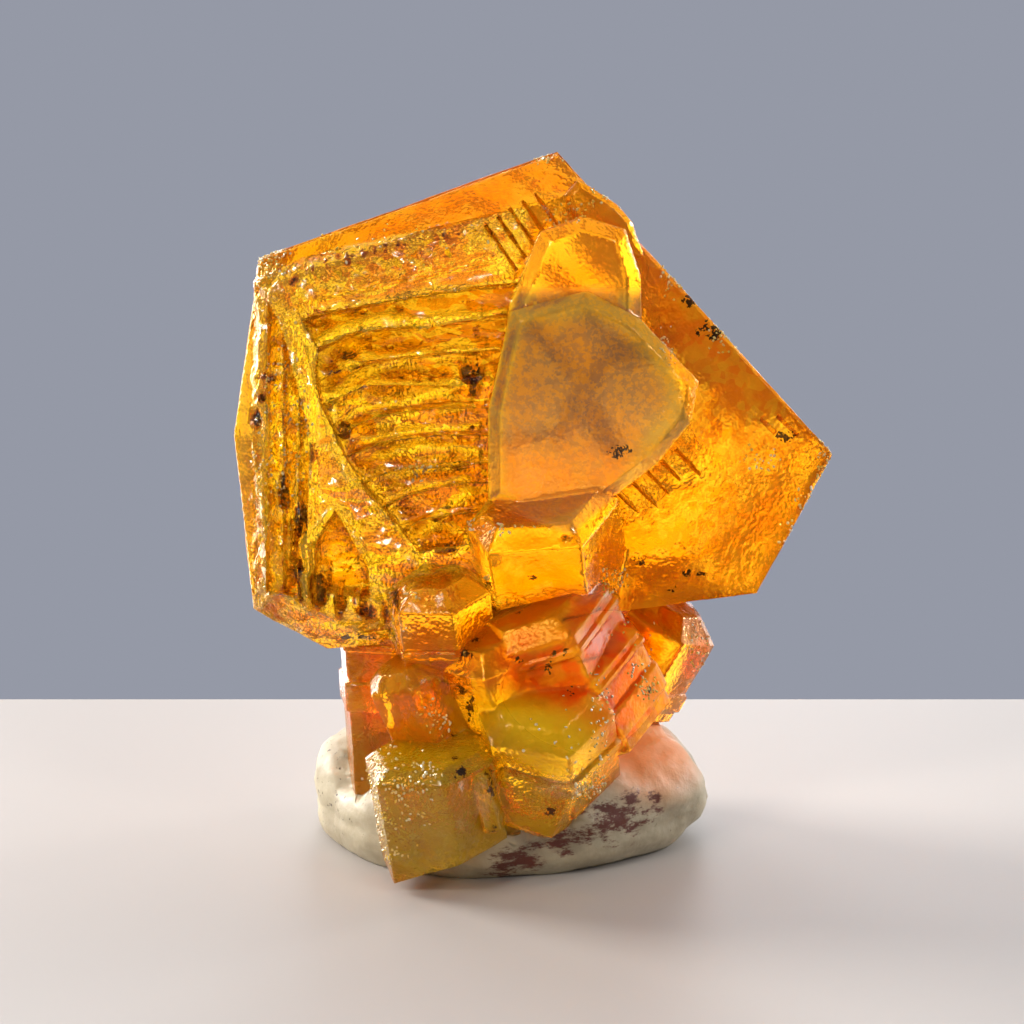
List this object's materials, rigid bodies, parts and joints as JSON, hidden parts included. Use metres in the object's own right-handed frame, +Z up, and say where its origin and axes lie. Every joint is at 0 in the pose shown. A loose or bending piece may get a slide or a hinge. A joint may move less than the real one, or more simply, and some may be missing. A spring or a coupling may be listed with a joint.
{
  "type": "mineral specimen",
  "caption": "Gemmy orange-yellow mimetite cluster: a large hexagonal hopper crystal over smaller stout prisms, pressed upright into a lump of off-white mineral tack.",
  "frame": {"origin": "middle of the specimen's box, at the height of the tack's flat underside", "axes": "+Z up; the hopper face looks along -Y, towards the viewer, and +X is to the viewer's right"},
  "size_m": [0.0182, 0.0142, 0.0213],
  "materials": {
    "mimetite": "transparent orange-yellow crystal with a resinous lustre, growth ledges and dark inclusions",
    "mineral_tack": "soft off-white putty, dull, finger-pressed, with maroon-brown stains"
  },
  "bodies": {
    "root": {"crystal_cluster": "mimetite", "putty_base": "mineral_tack"}
  },
  "joints": []
}
